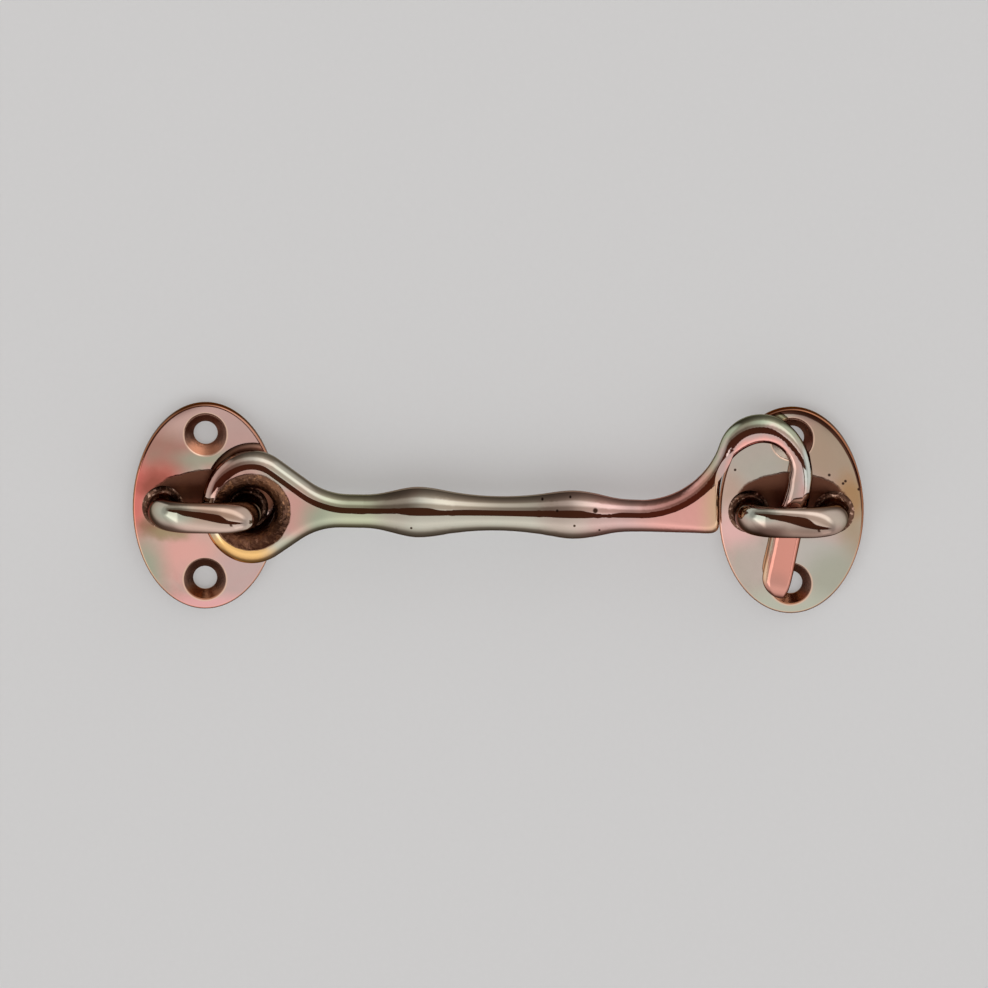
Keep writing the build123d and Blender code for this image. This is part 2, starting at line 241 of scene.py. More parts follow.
CROWN_TAN = (0.42, 0.28, 0.21)
CROWN_PINK = (0.50, 0.35, 0.29)
CROWN_GREEN = (0.38, 0.40, 0.32)
CROWN_PALE = (0.50, 0.39, 0.33)
CROWN_SAGE = (0.35, 0.38, 0.32)
CROWN_DARK_REFLECTION = (0.09, 0.048, 0.037)
UMBER = (0.21, 0.125, 0.098)
EYE_SHADE = (0.26, 0.18, 0.14)
NECK_GREEN = (0.43, 0.445, 0.305)
KNUCKLE_GREY = (0.36, 0.31, 0.255)
KNUCKLE_PINK = (0.40, 0.30, 0.26)
SHANK_BEIGE = (0.45, 0.37, 0.29)
HEEL = (0.68, 0.33, 0.29)
ARCH_GREEN = (0.37, 0.42, 0.30)
THROAT_PINK = (0.78, 0.36, 0.31)
LIMB_BROWN = (0.37, 0.29, 0.24)
LIMB_EDGE = (0.54, 0.58, 0.53)
TIP_RED = (0.46, 0.225, 0.18)
TONGUE_GOLD = (0.78, 0.56, 0.36)

# Colours of the bare and scaled metal, and of painted highlights, reflections, light and shade
EDGE_TINT = (0.30, 0.25, 0.22)
COPPER = (0.42, 0.18, 0.095)
COPPER_GLOW = (0.50, 0.215, 0.125)
GREY_GLOW = (0.41, 0.35, 0.29)
RIM = (0.65, 0.44, 0.33)
BROWN = (0.20, 0.10, 0.06)
FLUX_BROWN = (0.25, 0.12, 0.065)
SCALE = (0.11, 0.056, 0.037)
PIT = (0.05, 0.025, 0.016)
PAINTED_STAPLE_REFLECTION = (0.18, 0.075, 0.046)
DARK_SLOT_REFLECTION = (0.078, 0.031, 0.019)
UPPER_SINK = (0.31, 0.165, 0.118)
LOWER_SINK = (0.21, 0.112, 0.08)
GROUND = (0.50, 0.39, 0.28)
GROUND_DARK = (0.30, 0.22, 0.15)
TAIL = (0.36, 0.25, 0.17)
FOOT_GLINT = (0.50, 0.32, 0.24)
DISH = (0.145, 0.07, 0.043)
DISH_WARM = (0.20, 0.095, 0.05)
DISH_PAINTED_SHADE = (0.06, 0.03, 0.02)
DISH_PAINTED_LIGHT = (0.25, 0.12, 0.075)
DISH_GLINT = (0.30, 0.15, 0.08)


def new_group(name, inputs, outputs):
    """An empty shader node group with named sockets, and its two ends."""
    tree = bpy.data.node_groups.new(name, "ShaderNodeTree")
    for kind, label, value in inputs:
        socket = tree.interface.new_socket(label, in_out="INPUT", socket_type=f"NodeSocket{kind}")
        socket.default_value = value
    for kind, label in outputs:
        tree.interface.new_socket(label, in_out="OUTPUT", socket_type=f"NodeSocket{kind}")
    entry = tree.nodes.new("NodeGroupInput")
    result = tree.nodes.new("NodeGroupOutput")
    return tree, entry, result


def add(tree, kind, **settings):
    """A node of a kind in a tree, with its settings."""
    node = tree.nodes.new(f"ShaderNode{kind}")
    for key, value in settings.items():
        setattr(node, key, value)
    return node


def feed(tree, node, **sources):
    """Links sources to a node's inputs, or sets their values; an input is named by its label or number."""
    for label, source in sources.items():
        key = int(label[1:]) if label[0] == "n" and label[1:].isdigit() else label.replace("_", " ")
        socket = node.inputs[key]
        if isinstance(source, bpy.types.NodeSocket):
            tree.links.new(source, socket)
        else:
            socket.default_value = source


def arithmetic(tree, operation, first, second=0.0, third=0.0):
    """The result of a Math node."""
    node = add(tree, "Math", operation=operation)
    feed(tree, node, n0=first, n1=second, n2=third)
    return node.outputs[0]


def overlap(tree, first, second):
    """What two masks share."""
    return arithmetic(tree, "MULTIPLY", first, second)


def outside(tree, mask):
    """All that a mask leaves out."""
    return arithmetic(tree, "SUBTRACT", 1.0, mask)


def noise(tree, place, **settings):
    """The grey of a Noise node at a place."""
    node = add(tree, "TexNoise")
    feed(tree, node, Vector=place, **settings)
    return node.outputs[0]


def soft_step(tree, value, low, high):
    """A smooth step from 0 at low to 1 at high."""
    node = add(tree, "MapRange", interpolation_type="SMOOTHSTEP")
    feed(tree, node, Value=value, From_Min=low, From_Max=high)
    return node.outputs[0]


def blend(tree, share, first, second, how="MIX"):
    """A colour mixed from two others."""
    node = add(tree, "Mix", data_type="RGBA", blend_type=how)
    feed(tree, node, n0=share, n6=first, n7=second)
    return node.outputs[2]


def fill_ramp(ramp, stops):
    """Gives a new colour ramp, which has two stops, its own stops from left to right."""
    for number, (position, colour) in enumerate(stops):
        if number < 2:
            stop = ramp.elements[number]
            stop.position = position
        else:
            stop = ramp.elements.new(position)
        stop.color = (*colour, 1)


def make_bloom_group():
    """The colours that heat leaves on polished brass: salmon, pink, beige and green in slow bands."""
    inputs = [
        ("Vector", "Vector", (0, 0, 0)),
        ("Float", "Scale", PLATE_BLOOM_SCALE),
        ("Vector", "Offset", (0, 0, 0)),
        ("Float", "Shift", 0.0),
    ]
    tree, entry, result = new_group("heat_bloom", inputs, [("Color", "Colour")])
    shifted = add(tree, "VectorMath", operation="ADD")
    feed(tree, shifted, n0=entry.outputs["Vector"], n1=entry.outputs["Offset"])
    place = shifted.outputs[0]
    slow = noise(tree, place, Scale=entry.outputs["Scale"], Detail=3.0, Roughness=0.45, Distortion=0.7)
    bands = add(tree, "ValToRGB")
    feed(tree, bands, Fac=arithmetic(tree, "ADD", slow, entry.outputs["Shift"]))
    bands.color_ramp.interpolation = "B_SPLINE"
    fill_ramp(bands.color_ramp, BLOOM_STOPS)
    haze = noise(tree, place, Scale=HAZE_SCALE, Detail=4.0, Roughness=0.6)
    depth = add(tree, "MapRange")
    feed(tree, depth, Value=haze, From_Min=0.3, From_Max=0.7, To_Min=0.92, To_Max=1.08)
    mottled = add(tree, "VectorMath", operation="SCALE")
    feed(tree, mottled, n0=bands.outputs[0], Scale=depth.outputs[0])
    tree.links.new(mottled.outputs[0], result.inputs["Colour"])
    return tree


def make_patch_group():
    """A soft patch about a place: 1 inside its reach, 0 past its edge, with a ragged outline."""
    inputs = [
        ("Vector", "Vector", (0, 0, 0)),
        ("Vector", "Centre", (0, 0, 0)),
        ("Vector", "Reach", (1, 1, 1)),
        ("Float", "Softness", 0.3),
        ("Float", "Raggedness", 0.0),
    ]
    tree, entry, result = new_group("bloom_patch", inputs, [("Float", "Mask")])
    away = add(tree, "VectorMath", operation="SUBTRACT")
    feed(tree, away, n0=entry.outputs["Vector"], n1=entry.outputs["Centre"])
    shares = add(tree, "VectorMath", operation="DIVIDE")
    feed(tree, shares, n0=away.outputs[0], n1=entry.outputs["Reach"])
    distance = add(tree, "VectorMath", operation="LENGTH")
    feed(tree, distance, n0=shares.outputs[0])
    edge = noise(tree, entry.outputs["Vector"], Scale=RAGGED_SCALE, Detail=3.0)
    wander = arithmetic(tree, "SUBTRACT", edge, 0.5)
    wander = arithmetic(tree, "MULTIPLY", wander, entry.outputs["Raggedness"])
    ragged = arithmetic(tree, "ADD", distance.outputs["Value"], wander)
    inner = arithmetic(tree, "SUBTRACT", 1.0, entry.outputs["Softness"])
    outer = arithmetic(tree, "ADD", 1.0, entry.outputs["Softness"])
    mask = outside(tree, soft_step(tree, ragged, inner, outer))
    tree.links.new(mask, result.inputs["Mask"])
    return tree


def make_cast_group():
    """Heights in millimetres: the slow waves of hand polishing, and the grain and lumps of rough casting."""
    inputs = [
        ("Vector", "Vector", (0, 0, 0)),
        ("Float", "Waves", POLISHING_WAVES),
        ("Float", "Rough Share", 0.0),
    ]
    tree, entry, result = new_group("cast_surface", inputs, [("Float", "Height")])
    place = entry.outputs["Vector"]
    waves = noise(tree, place, Scale=POLISHING_SCALE, Detail=1.0)
    lumps = noise(tree, place, Scale=LUMP_SCALE, Detail=2.0)
    grain = noise(tree, place, Scale=GRAIN_SCALE, Detail=3.0)
    slow = arithmetic(tree, "MULTIPLY", waves, entry.outputs["Waves"])
    coarse = arithmetic(tree, "MULTIPLY", lumps, LUMP_HEIGHT)
    fine = arithmetic(tree, "MULTIPLY_ADD", grain, GRAIN_HEIGHT, coarse)
    rough = arithmetic(tree, "MULTIPLY", fine, entry.outputs["Rough Share"])
    tree.links.new(arithmetic(tree, "ADD", slow, rough), result.inputs["Height"])
    return tree


def make_warp_group():
    """Height in millimetres of a slight twist and flattening about a centre, as a bent bar has."""
    inputs = [
        ("Vector", "Vector", (0, 0, 0)),
        ("Float", "Centre", 0.0),
        ("Float", "Twist", 0.0),
        ("Float", "Flatness", 0.0),
    ]
    tree, entry, result = new_group("slight_warp", inputs, [("Float", "Height")])
    parts = add(tree, "SeparateXYZ")
    feed(tree, parts, Vector=entry.outputs["Vector"])
    across = arithmetic(tree, "SUBTRACT", parts.outputs["X"], entry.outputs["Centre"])
    across = arithmetic(tree, "DIVIDE", across, MM)
    rise = arithmetic(tree, "DIVIDE", parts.outputs["Z"], MM)
    twisted = arithmetic(tree, "MULTIPLY", across, entry.outputs["Twist"])
    slope = arithmetic(tree, "MULTIPLY_ADD", rise, entry.outputs["Flatness"], twisted)
    tree.links.new(arithmetic(tree, "MULTIPLY", slope, rise), result.inputs["Height"])
    return tree


BLOOM = make_bloom_group()
PATCH = make_patch_group()
CAST = make_cast_group()
WARP = make_warp_group()


class Finish:
    """Polished brass that is painted in layers: heat bloom first, then patches, brown scale and pits."""

    def __init__(self, name, scale, offset, shift):
        self.material = bpy.data.materials.new(name)
        self.material.use_nodes = True
        self.tree = self.material.node_tree
        self.shader = self.tree.nodes["Principled BSDF"]
        self.place = add(self.tree, "TexCoord").outputs["Object"]
        parts = add(self.tree, "SeparateXYZ")
        feed(self.tree, parts, Vector=self.place)
        self.height = arithmetic(self.tree, "DIVIDE", parts.outputs["Y"], -MM)
        bloom = add(self.tree, "Group", node_tree=BLOOM)
        feed(self.tree, bloom, Vector=self.place, Scale=scale, Offset=offset, Shift=shift)
        self.colour = bloom.outputs["Colour"]
        self.dullness = 0.0
        self.roughness = 0.0

    def mask(self, centre, reach, softness, raggedness=0.0):
        """The mask of one patch, in millimetres, whose reach along Y is endless."""
        node = add(self.tree, "Group", node_tree=PATCH)
        middle = (centre[0] * MM, 0, centre[1] * MM)
        across = (reach[0] * MM, ENDLESS, reach[1] * MM)
        feed(self.tree, node, Vector=self.place, Centre=middle, Reach=across)
        feed(self.tree, node, Softness=softness, Raggedness=raggedness)
        return node.outputs["Mask"]

    def above(self, low, high):
        """A mask of what stands off the wall by more than a height."""
        return soft_step(self.tree, self.height, low, high)

    def below(self, low, high):
        """A mask of what lies nearer to the wall than a height."""
        return outside(self.tree, self.above(low, high))

    def paint(self, mask, strength, colour):
        """Paints a colour through a mask."""
        share = arithmetic(self.tree, "MULTIPLY", mask, strength)
        self.colour = blend(self.tree, share, self.colour, (*colour, 1))

    def patch(self, centre, reach, softness, strength, colour):
        """A soft coloured patch, used for heat bloom and for painted reflections and shade."""
        self.paint(self.mask(centre, reach, softness, PATCH_RAGGEDNESS), strength, colour)

    def patch_within(self, limit, centre, reach, strength, colour):
        """A soft patch that stays inside another mask."""
        mask = self.mask(centre, reach, PATCH_WITHIN_SOFTNESS, PATCH_RAGGEDNESS)
        self.paint(overlap(self.tree, mask, limit), strength, colour)

    def stain(self, centre, reach, strength, colour):
        """A patch with a ragged edge, as flux and heat leave it."""
        self.paint(self.mask(centre, reach, STAIN_SOFTNESS, STAIN_RAGGEDNESS), strength, colour)

    def glints(self, mask, colour):
        """Painted glints: bright specks on the lumps of a rough casting, painted as highlights."""
        specks = noise(self.tree, self.place, Scale=SPECK_SCALE, Detail=2.0)
        specks = soft_step(self.tree, specks, *SPECK_LIMITS)
        self.paint(overlap(self.tree, specks, mask), SPECK_STRENGTH, colour)

    def dull(self, mask, dullness, roughness):
        """Makes the surface under a mask less polished, and rough as it was cast."""
        duller = arithmetic(self.tree, "MULTIPLY", mask, dullness)
        self.dullness = arithmetic(self.tree, "MAXIMUM", self.dullness, duller)
        rougher = arithmetic(self.tree, "MULTIPLY", mask, roughness)
        self.roughness = arithmetic(self.tree, "MAXIMUM", self.roughness, rougher)

    def pits(self, places, radius):
        """Small dark pits of the casting."""
        for centre in places:
            mask = self.mask(centre, (radius, radius), PIT_SOFTNESS, PIT_RAGGEDNESS)
            self.paint(mask, 1.0, PIT)
            self.dull(mask, PIT_DULLNESS, 0.0)

    def grind_back(self, colour):
        """The flat back, ground on a belt."""
        back = self.below(*BACK_HEIGHTS)
        self.paint(back, 1.0, colour)
        stretch = add(self.tree, "VectorMath", operation="MULTIPLY")
        feed(self.tree, stretch, n0=self.place, n1=STROKE_STRETCH)
        strokes = noise(self.tree, stretch.outputs[0], Scale=STROKE_SCALE, Detail=3.0)
        strokes = soft_step(self.tree, strokes, *STROKE_LIMITS)
        self.paint(overlap(self.tree, back, strokes), STROKE_STRENGTH, GROUND_DARK)
        self.dull(back, BACK_DULLNESS, BACK_GRAIN)

    def close(self, polish, centre=0.0, twist=0.0, flatness=0.0):
        """Joins the layers to the shader."""
        tree = self.tree
        cast = add(tree, "Group", node_tree=CAST)
        feed(tree, cast, Vector=self.place, Waves=POLISHING_WAVES, Rough_Share=self.roughness)
        warp = add(tree, "Group", node_tree=WARP)
        feed(tree, warp, Vector=self.place, Centre=centre * MM, Twist=twist, Flatness=flatness)
        relief = arithmetic(tree, "ADD", cast.outputs["Height"], warp.outputs["Height"])
        bump = add(tree, "Bump")
        feed(tree, bump, Strength=1.0, Distance=MM, Height=relief)
        roughness = arithmetic(tree, "ADD", self.dullness, polish)
        feed(tree, self.shader, Base_Color=self.colour, Metallic=1.0, Specular_Tint=(*EDGE_TINT, 1))
        feed(tree, self.shader, Roughness=roughness, Normal=bump.outputs[0])
        return self.material


def plate_edges(finish, reach, crescent_shift):
    """What both plates have at the edge: a dark crescent that is a painted reflection of the tent's dark
    slot, a coppery rim and brown sides.
    """
    lit = (PLATE_HALF_WIDTH + CRESCENT_MARGIN, PLATE_HALF_HEIGHT + CRESCENT_MARGIN)
    middle = (reach + crescent_shift[0], crescent_shift[1])
    # Painted reflection: the tent's dark slot, seen in the plate's upper edge
    crescent = outside(finish.tree, finish.mask(middle, lit, CRESCENT_SOFTNESS, CRESCENT_RAGGEDNESS))
    finish.paint(crescent, 1.0, DARK_SLOT_REFLECTION)
    inner = (PLATE_HALF_WIDTH - RIM_WIDTH, PLATE_HALF_HEIGHT - RIM_HEIGHT)
    rim = outside(finish.tree, finish.mask((reach, 0), inner, RIM_SOFTNESS))
    finish.paint(rim, RIM_STRENGTH, COPPER)
    finish.paint(finish.below(*SIDE_HEIGHTS), 1.0, BROWN)


def countersink(finish, centre, shade, glow_shift, glow):
    """A brown countersink with a painted highlight on its rim and painted light low in its cone."""
    rim_radius = SINK_RADIUS + SINK_RIM
    # Painted highlight: a bright ring on the countersink's edge
    rim = finish.mask(centre, (rim_radius, rim_radius), SINK_RIM_SOFTNESS)
    finish.paint(rim, RIM_STRENGTH, RIM)
    sink = finish.mask(centre, (SINK_RADIUS, SINK_RADIUS), SINK_SOFTNESS, SINK_RAGGEDNESS)
    finish.paint(sink, 1.0, shade)
    # Painted light: a lighter patch low in the cone
    glow_centre = (centre[0] - glow_shift, centre[1] - SINK_GLOW_DROP)
    finish.patch_within(sink, glow_centre, SINK_GLOW_REACH, SINK_GLOW_STRENGTH, glow)
    finish.dull(sink, SINK_DULLNESS, SINK_GRAIN)


def painted_dark_oval(finish, centre, reach):
    """A dark brown oval behind a staple: a painted reflection of the staple, with painted shade around its
    feet.
    """
    dark_oval = finish.mask(centre, reach, DARK_OVAL_SOFTNESS, DARK_OVAL_RAGGEDNESS)
    finish.paint(dark_oval, 1.0, PAINTED_STAPLE_REFLECTION)
    finish.dull(dark_oval, DARK_OVAL_DULLNESS, DARK_OVAL_GRAIN)


def pivot_plate_finish():
    """The left plate: pink, red about the left foot, green beside it and on the lower left edge."""
    finish = Finish("pivot_plate_bloom_and_painted_light", PLATE_BLOOM_SCALE, offset=(0.3, 0.1, 0.2), shift=-0.06)
    finish.patch((-9, 12), (7, 8), 0.7, 0.8, RUSSET)
    finish.patch((-2, 19), (9, 4), 0.7, 0.8, BLUSH)
    finish.patch((7, 16), (7, 6), 0.6, 0.7, DUSKY_PINK)
    finish.patch((0.5, 10.4), (5.5, 1.7), 0.9, 0.8, SAGE)
    finish.patch((-9.5, 5.6), (4.8, 3.4), 0.7, 0.85, RED)
    finish.patch((-14.4, 2.0), (2.4, 10), 0.7, 0.85, BRIGHT_RED)
    finish.patch((-3.5, -9.5), (8.5, 4.8), 0.9, 0.95, WARM_PINK)
    finish.patch((8, -15), (6, 7), 0.6, 0.8, PALE_PINK)
    finish.patch((-12.6, -14), (3.7, 6.8), 0.9, 0.95, SAGE)
    finish.patch((1, -21.2), (8, 2.6), 0.6, 0.9, CORAL)
    finish.stain((-10.6, 4.4), (3.4, 2.8), 0.8, DARK_RED)
    finish.stain((-9.6, -4.2), (3.8, 2.0), 0.85, FLUX_BROWN)
    finish.stain((-7.2, -5.4), (4.0, 1.5), 0.85, OLIVE)
    plate_edges(finish, PIVOT_REACH, PIVOT_CRESCENT_SHIFT)
    countersink(finish, (PIVOT_REACH, -SCREW_RISE), LOWER_SINK, 0.0, COPPER)
    countersink(finish, (PIVOT_REACH, SCREW_RISE), UPPER_SINK, 0.4, COPPER_GLOW)
    painted_dark_oval(finish, (PIVOT_REACH + 2.0, 2.2), (13.0, 5.8))
    finish.grind_back(GROUND)
    return finish.close(CASTING_POLISH)


def keeper_plate_finish():
    """The right plate: green-grey below, rose at the lower left, olive beside the right foot."""
    finish = Finish("keeper_plate_bloom_and_painted_light", PLATE_BLOOM_SCALE, offset=(0.7, 0.4, 0.9), shift=0.04)
    finish.patch((KEEPER_REACH - 7, 11), (7, 6), 0.5, 0.8, WARM_GREY)
    finish.patch((KEEPER_REACH - 12.5, 4), (2.6, 4), 0.7, 0.7, TAN)
    finish.patch((KEEPER_REACH - 11.5, -3.5), (4.5, 4.5), 0.7, 0.95, ROSE)
    finish.patch((KEEPER_REACH + 8, 13), (8, 8), 0.6, 0.9, KHAKI)
    finish.patch((KEEPER_REACH + 12.3, 2.5), (3.4, 5.5), 0.6, 0.9, AMBER)
    finish.patch((KEEPER_REACH + 12.5, -6), (3, 5), 0.7, 0.9, PALE_KHAKI)
    finish.patch((KEEPER_REACH + 5, -9), (6, 5), 0.7, 0.9, PALE_GREY)
    finish.patch((KEEPER_REACH + 9, -14), (6, 6), 0.6, 0.9, MOSS_GREY)
    finish.patch((KEEPER_REACH - 1, -20), (9, 3.6), 0.7, 0.9, MIST_GREEN)
    finish.patch((KEEPER_REACH - 9, -12), (4, 5), 0.7, 0.8, PINK_GREY)
    finish.pits([(110.3, 8.8), (129.9, 7.9), (133.3, 6.6), (132.8, 6.1), (136.1, 4.9)], PLATE_PIT_RADIUS)
    plate_edges(finish, KEEPER_REACH, KEEPER_CRESCENT_SHIFT)
    countersink(finish, (KEEPER_REACH, -SCREW_RISE), LOWER_SINK, 0.0, COPPER)
    countersink(finish, (KEEPER_REACH, SCREW_RISE), UPPER_SINK, 3.0, GREY_GLOW)
    painted_dark_oval(finish, (KEEPER_REACH, 2.2), (11.4, 6.2))
    finish.grind_back(GROUND)
    return finish.close(CASTING_POLISH)


# Patches on the staples' crowns: centre from the middle of the plate, reach and colour
PIVOT_BAR_BLOOMS = [
    ((-1, 1.4), (11, 2.2), CROWN_TAN),
    ((-1, -2.4), (10, 1.9), CROWN_PINK),
    ((-6.5, 1.2), (4.5, 1.8), CROWN_GREEN),
]
KEEPER_BAR_PATCHES = [
    ((-1, 1.4), (11, 2.2), CROWN_PALE),
    # The crown's lower half is painted a darker umber
    ((-0.5, -2.2), (11, 2.1), UMBER),
    # Painted reflection: a dark patch on the crown's left
    ((-5, -1.8), (3.4, 1.6), CROWN_DARK_REFLECTION),
    ((-7, 2.0), (4.0, 1.3), CROWN_SAGE),
]


def staple_finish(name, reach, offset, flatness, crown_patches):
    """A bent bar: polished on its crown, brown on its legs as dull metal and as painted shade under the
    crown, and rough where its feet are flared.
    """
    finish = Finish(name, STAPLE_BLOOM_SCALE, offset, shift=0.0)
    for centre, size, colour in crown_patches:
        middle = (reach + centre[0], centre[1])
        finish.patch(middle, size, BAR_PATCH_SOFTNESS, BAR_PATCH_STRENGTH, colour)
    # The legs are brown as dull metal and as painted shade under the crown
    legs = finish.below(*LEG_HEIGHTS)
    finish.paint(legs, 1.0, BROWN)
    feet = overlap(finish.tree, finish.below(*FOOT_HEIGHTS), finish.above(*TAIL_HEIGHTS))
    finish.paint(feet, 1.0, SCALE)
    finish.glints(feet, FOOT_GLINT)
    finish.dull(feet, FOOT_DULLNESS, ROUGH_CASTING)
    finish.dull(legs, LEG_DULLNESS, LEG_GRAIN)
    finish.grind_back(TAIL)
    return finish.close(BAR_POLISH, reach, CROWN_TWIST, flatness)


def arm_finish():
    """The casting: a rough brown dish, a painted gold reflection on the eye's lower rim, then pink, green,
    beige and salmon, with painted shade on the eye, the knuckles and the tongue's tip.
    """
    finish = Finish("arm_bloom_and_painted_light", ARM_BLOOM_SCALE, offset=(0.5, 0.6, 0.1), shift=0.0)
    # Eye and neck
    finish.patch((9, 9), (12, 5), 0.5, 0.9, PALE_GREEN)
    # Painted shade on the eye's top left rim
    finish.patch((1.5, 8.0), (5.0, 4.0), 0.6, 0.8, EYE_SHADE)
    finish.patch((8, 6), (8, 5), 0.5, 0.8, PINK)
    finish.patch((19.5, 1.2), (5, 7), 0.5, 0.9, PINK)
    finish.patch((18.5, 8.2), (6.0, 2.6), 0.5, 0.9, PALE_GREEN)
    finish.patch((25.5, 5.2), (5.5, 2.4), 0.5, 0.9, PALE_GREEN)
    finish.patch((19.5, -6.8), (5.0, 2.4), 0.6, 0.85, GREEN)
    finish.patch((25.5, -1.5), (5, 5), 0.6, 0.9, SAGE)
    finish.patch((31, -1.5), (5, 5), 0.6, 0.9, GREEN)
    # Shank and shoulder
    finish.patch((56, 0), (24, 8), 0.4, 0.9, PALE_GREEN)
    finish.patch((32, 0), (6, 7), 0.7, 0.9, NECK_GREEN)
    # Painted shade: darker patches on the knuckles' left slopes
    finish.patch((39.5, 1.5), (3.5, 5), 0.8, 0.7, KNUCKLE_GREY)
    finish.patch((73, 2), (3.5, 5), 0.8, 0.7, KNUCKLE_PINK)
    finish.patch((60, 3), (9, 2.5), 0.7, 0.6, SHANK_BEIGE)
    finish.patch((88, 0), (9, 7), 0.6, 0.7, PALE_PINK)
    finish.patch((100, -1), (9, 8), 0.6, 0.9, HEEL)
    finish.patch((107.5, 1.5), (3.4, 9), 0.9, 0.8, BEIGE)
    # Arch and tongue
    finish.patch((113, 17.5), (15, 8.5), 0.35, 0.95, ARCH_GREEN)
    finish.patch(THROAT_CENTRE, (9.3, 9.3), 0.14, 0.9, PALE_PINK)
    finish.patch(THROAT_CENTRE, (7.2, 7.2), 0.10, 0.9, THROAT_PINK)
    finish.patch((121.6, 8), (2.0, 6), 0.5, 0.8, LIMB_BROWN)
    finish.patch((125.5, 12), (1.2, 6.5), 0.4, 0.9, LIMB_EDGE)
    finish.patch((119.5, -9), (6, 12), 0.3, 0.95, SALMON)
    # Painted shade: darker red towards the tongue's tip
    finish.patch((118.6, -15.5), (4, 3.5), 0.6, 0.75, TIP_RED)
    finish.patch((117.4, -5), (1.0, 3.2), 0.5, 0.8, GREEN)
    finish.patch((116.4, -10.5), (0.9, 3.6), 0.5, 0.8, TONGUE_GOLD)
    # Lower rim, back and dish of the eye
    # Painted reflection: the bright gold on the eye's lower rim
    finish.patch((6.2, -8.4), (7.6, 4.2), 0.35, 0.95, PAINTED_GOLD_REFLECTION)
    # The eye's back is brown as dull metal and as painted shade between the eye and the plate
    eye = finish.mask(EYE_CENTRE, EYE_REACH, EYE_SOFTNESS)
    eye_back = overlap(finish.tree, eye, finish.below(*EYE_BACK_HEIGHTS))
    finish.paint(eye_back, EYE_BACK_STRENGTH, BROWN)
    dish = finish.mask(DISH_CENTRE, (DISH_RADIUS, DISH_RADIUS), DISH_SOFTNESS, DISH_RAGGEDNESS)
    finish.paint(dish, 1.0, DISH)
    deep = finish.mask(DEEP_CENTRE, DEEP_REACH, DEEP_SOFTNESS, DEEP_RAGGEDNESS)
    finish.paint(deep, DEEP_STRENGTH, SCALE)
    finish.patch_within(dish, (14.5, 5.5), (3.6, 3.0), 0.6, DISH_WARM)
    # Painted shade on the dish's right, and painted light on its lower part
    finish.patch_within(dish, (15.6, 0.0), (2.6, 4.0), 0.7, DISH_PAINTED_SHADE)
    finish.patch_within(dish, (9.0, -5.4), (5.0, 2.2), 0.7, DISH_PAINTED_LIGHT)
    finish.glints(dish, DISH_GLINT)
    finish.dull(dish, DISH_DULLNESS, ROUGH_CASTING)
    shank_pits = [(70.2, 3.6), (76.0, 4.2), (73.3, 1.6), (43.0, -2.3), (76.9, -1.5), (82.1, -2.6)]
    finish.pits([*shank_pits, (102.4, 8.2)], ARM_PIT_RADIUS)
    finish.pits([(81.2, 1.6)], LARGE_PIT_RADIUS)
    return finish.close(CASTING_POLISH)


def polished_copy(name, body, material):
    """A copy of a solid with its triangles joined and its faces shaded as one smooth surface."""
    bpy.ops.object.select_all(action="DESELECT")
    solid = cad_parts[name]
    solid.select_set(True)
    bpy.context.view_layer.objects.active = solid
    bpy.ops.object.duplicate()
    copy = bpy.context.object
    copy.name = f"{name}_polished"
    bpy.ops.object.mode_set(mode="EDIT")
    bpy.ops.mesh.select_all(action="SELECT")
    bpy.ops.mesh.customdata_custom_splitnormals_clear()
    bpy.ops.mesh.remove_doubles(threshold=MERGE_DISTANCE)
    bpy.ops.mesh.dissolve_degenerate(threshold=SLIVER)
    bpy.ops.mesh.normals_make_consistent(inside=False)
    bpy.ops.object.mode_set(mode="OBJECT")
    bpy.ops.object.shade_smooth_by_angle(angle=CREASE_ANGLE)
    copy.data.materials.clear()
    copy.data.materials.append(material)
    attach(copy, body)
    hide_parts(name)
    return copy


def fair_dome(copy, reach, twist, lean):
    """Shades a plate's domed front as one even curve with the slight twist and lean of a pressed plate."""
    fall = PLATE_THICKNESS - PLATE_EDGE_THICKNESS
    half = PLATE_HALF_HEIGHT * MM
    radius = (half**2 + fall**2) / (2 * fall)
    hub = Vector((reach * MM, radius - PLATE_THICKNESS, 0))
    mesh = copy.data
    normals = [corner.vector.copy() for corner in mesh.corner_normals]
    for face in mesh.polygons:
        spots = [mesh.vertices[index].co - hub for index in face.vertices]
        on_dome = all(abs(spot.length - radius) < DOME_TOLERANCE for spot in spots)
        if on_dome and -face.normal.y > DOME_STEEPEST:
            for loop, spot in zip(face.loop_indices, spots):
                slope_x = DOME_FLATNESS * spot.x / radius
                slope_z = DOME_FLATNESS * spot.z / radius + twist * spot.x / MM + lean
                normals[loop] = Vector((slope_x, -1, slope_z)).normalized()
    mesh.normals_split_custom_set(normals)


pivot_plate = polished_copy("pivot_plate", "fixings", pivot_plate_finish())
fair_dome(pivot_plate, PIVOT_REACH, PIVOT_DOME_TWIST, PIVOT_DOME_LEAN)
keeper_plate = polished_copy("keeper_plate", "fixings", keeper_plate_finish())
fair_dome(keeper_plate, KEEPER_REACH, KEEPER_DOME_TWIST, KEEPER_DOME_LEAN)
pivot_bar = staple_finish(
    "pivot_staple_bloom_and_painted_light", PIVOT_REACH, (0.1, 0.8, 0.5), PIVOT_CROWN_FLATNESS, PIVOT_BAR_BLOOMS
)
keeper_bar = staple_finish(
    "keeper_staple_bloom_and_painted_light", KEEPER_REACH, (0.4, 0.2, 0.6), KEEPER_CROWN_FLATNESS, KEEPER_BAR_PATCHES
)
polished_copy("pivot_staple", "fixings", pivot_bar)
polished_copy("keeper_staple", "fixings", keeper_bar)
polished_copy("hook_arm", "arm", arm_finish())


